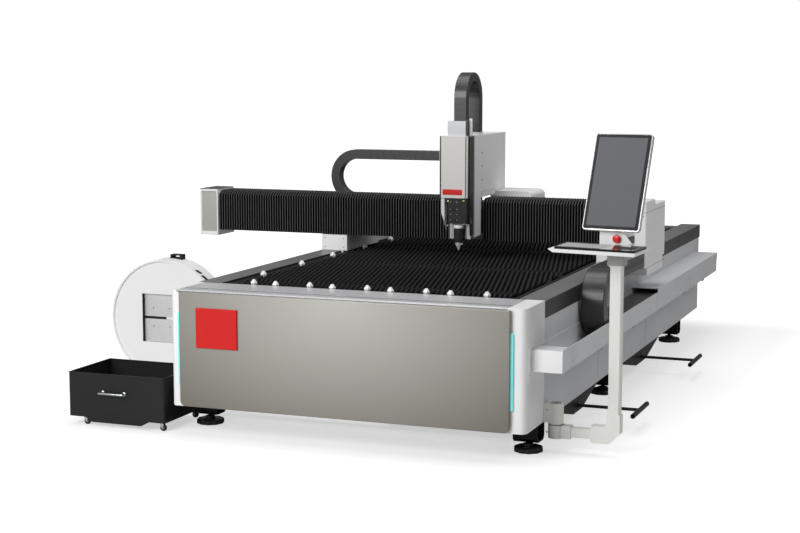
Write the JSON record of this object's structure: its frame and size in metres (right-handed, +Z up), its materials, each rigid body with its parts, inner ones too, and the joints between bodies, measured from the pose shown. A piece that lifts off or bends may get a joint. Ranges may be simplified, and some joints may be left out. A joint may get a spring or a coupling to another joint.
{
  "type": "fiber laser cutting machine",
  "caption": "Flat-bed fiber laser cutting machine with slat bed, travelling gantry, bellows, energy chains, swinging console, scrap drawers, cart and round cabinet.",
  "frame": {"origin": "on the floor at the middle of the whole machine's box", "axes": "+X along the gantry to the console side, +Y from the front panel to the rear, +Z up"},
  "size_m": [4.168, 5.185, 2.1817],
  "materials": {
    "white_paint": "satin",
    "taupe_paint": "satin",
    "grey_paint": "satin",
    "light_grey_paint": "satin",
    "black_paint": "satin",
    "beige_paint": "satin",
    "red_paint": "gloss",
    "steel": "brushed",
    "aluminium": "satin",
    "black_plastic": "matte",
    "red_plastic": "gloss",
    "bellows_cloth": "matte",
    "light_cover": "gloss",
    "wheel_rubber": "matte"
  },
  "bodies": {
    "machine": {"front_shell": "white_paint", "front_panel": "taupe_paint", "light_strips": "light_cover", "bare_plate": "red_paint", "header_trim": "aluminium", "header_end_caps": "white_paint", "bed_frame": "light_grey_paint", "bed_walls": "white_paint", "rail_covers": "grey_paint", "y_rails": "steel", "slat_combs": "steel", "slats": "steel", "ball_rollers": "steel", "chain_trough": "white_paint", "trough_covers": "white_paint", "leg_brackets": "black_paint", "levelling_feet": "steel", "drawer_runners": "black_paint", "console_bracket": "beige_paint", "cabinet_drum": "white_paint", "cabinet_plates": "aluminium", "cabinet_brackets": "black_paint", "y_energy_chain": "black_plastic"},
    "gantry": {"gantry_beam": "light_grey_paint", "gantry_feet": "white_paint", "y_runners": "steel", "gantry_end_cap": "white_paint", "gantry_block": "white_paint", "bellows_left": "bellows_cloth", "bellows_right": "bellows_cloth", "rear_housing": "white_paint", "x_chain_tray": "light_grey_paint", "x_energy_chain": "black_plastic"},
    "carriage": {"carriage_housing": "white_paint", "carriage_saddle": "steel", "chain_brackets": "white_paint", "z_energy_chain": "black_plastic"},
    "head": {"head_back_plate": "steel", "head_cover": "white_paint", "cutting_head": "black_paint", "nozzle": "steel", "motor_box": "white_paint"},
    "console_swing_arm": {"console_arm": "beige_paint", "console_column": "beige_paint"},
    "console_top": {"console_tray": "beige_paint", "keyboard": "black_plastic", "console_neck": "beige_paint"},
    "screen": {"monitor": "black_plastic"},
    "button": {"emergency_button": "red_plastic"},
    "front_drawer": {"drawer_front": "black_paint"},
    "rear_drawer": {"drawer_rear": "black_paint"},
    "cart": {"cart_tub": "black_paint"},
    "fork_left_front": {"caster_fork_left_front": "black_paint"},
    "wheel_left_front": {"caster_wheel_left_front": "wheel_rubber"},
    "fork_left_rear": {"caster_fork_left_rear": "black_paint"},
    "wheel_left_rear": {"caster_wheel_left_rear": "wheel_rubber"},
    "fork_right_front": {"caster_fork_right_front": "black_paint"},
    "wheel_right_front": {"caster_wheel_right_front": "wheel_rubber"},
    "fork_right_rear": {"caster_fork_right_rear": "black_paint"},
    "wheel_right_rear": {"caster_wheel_right_rear": "wheel_rubber"}
  },
  "joints": [
    {"name": "gantry_travel", "type": "slide", "parent": "machine", "child": "gantry", "axis": [0, 1, 0], "range_m": [-1.45, 1.55], "deforming": ["y_energy_chain"]},
    {"name": "carriage_travel", "type": "slide", "parent": "gantry", "child": "carriage", "axis": [1, 0, 0], "range_m": [-0.75, 0.75], "deforming": ["bellows_left", "bellows_right", "x_energy_chain"]},
    {"name": "head_travel", "type": "slide", "parent": "carriage", "child": "head", "axis": [0, 0, 1], "range_m": [-0.06, 0.09], "deforming": ["z_energy_chain"]},
    {"name": "console_swing", "type": "hinge", "parent": "machine", "child": "console_swing_arm", "pos_m": [1.53599, -2.1485, 0.163], "axis": [0, 0, 1], "range_deg": [-55, 0]},
    {"name": "console_swivel", "type": "hinge", "parent": "console_swing_arm", "child": "console_top", "pos_m": [1.88199, -2.1485, 1.17], "axis": [0, 0, 1], "range_deg": [-60, 45]},
    {"name": "monitor_tilt", "type": "hinge", "parent": "console_top", "child": "screen", "pos_m": [1.87667, -2.18208, 1.326], "axis": [0.9877, -0.1564, 0], "range_deg": [-12, 8]},
    {"name": "button_press", "type": "slide", "parent": "console_top", "child": "button", "axis": [0.1564, 0.9877, 0], "range_m": [0, 0.008], "stiffness_N_per_m": 1500},
    {"name": "front_drawer_pull", "type": "slide", "parent": "machine", "child": "front_drawer", "axis": [1, 0, 0], "range_m": [0, 0.9]},
    {"name": "rear_drawer_pull", "type": "slide", "parent": "machine", "child": "rear_drawer", "axis": [1, 0, 0], "range_m": [0, 0.9]},
    {"name": "cart_roll", "type": "slide", "parent": "machine", "child": "cart", "axis": [1, 0, 0], "range_m": [-0.6, 0]},
    {"name": "caster_swivel_left_front", "type": "hinge", "parent": "cart", "child": "fork_left_front", "pos_m": [-1.39301, -2.5135, 0.055], "axis": [0, 0, 1], "continuous": true},
    {"name": "wheel_roll_left_front", "type": "hinge", "parent": "fork_left_front", "child": "wheel_left_front", "pos_m": [-1.38401, -2.5135, 0.021], "axis": [0, 1, 0], "continuous": true},
    {"name": "caster_swivel_left_rear", "type": "hinge", "parent": "cart", "child": "fork_left_rear", "pos_m": [-1.39301, -2.1035, 0.055], "axis": [0, 0, 1], "continuous": true},
    {"name": "wheel_roll_left_rear", "type": "hinge", "parent": "fork_left_rear", "child": "wheel_left_rear", "pos_m": [-1.38401, -2.1035, 0.021], "axis": [0, 1, 0], "continuous": true},
    {"name": "caster_swivel_right_front", "type": "hinge", "parent": "cart", "child": "fork_right_front", "pos_m": [-0.85501, -2.5135, 0.055], "axis": [0, 0, 1], "continuous": true},
    {"name": "wheel_roll_right_front", "type": "hinge", "parent": "fork_right_front", "child": "wheel_right_front", "pos_m": [-0.84601, -2.5135, 0.021], "axis": [0, 1, 0], "continuous": true},
    {"name": "caster_swivel_right_rear", "type": "hinge", "parent": "cart", "child": "fork_right_rear", "pos_m": [-0.85501, -2.1035, 0.055], "axis": [0, 0, 1], "continuous": true},
    {"name": "wheel_roll_right_rear", "type": "hinge", "parent": "fork_right_rear", "child": "wheel_right_rear", "pos_m": [-0.84601, -2.1035, 0.021], "axis": [0, 1, 0], "continuous": true}
  ]
}
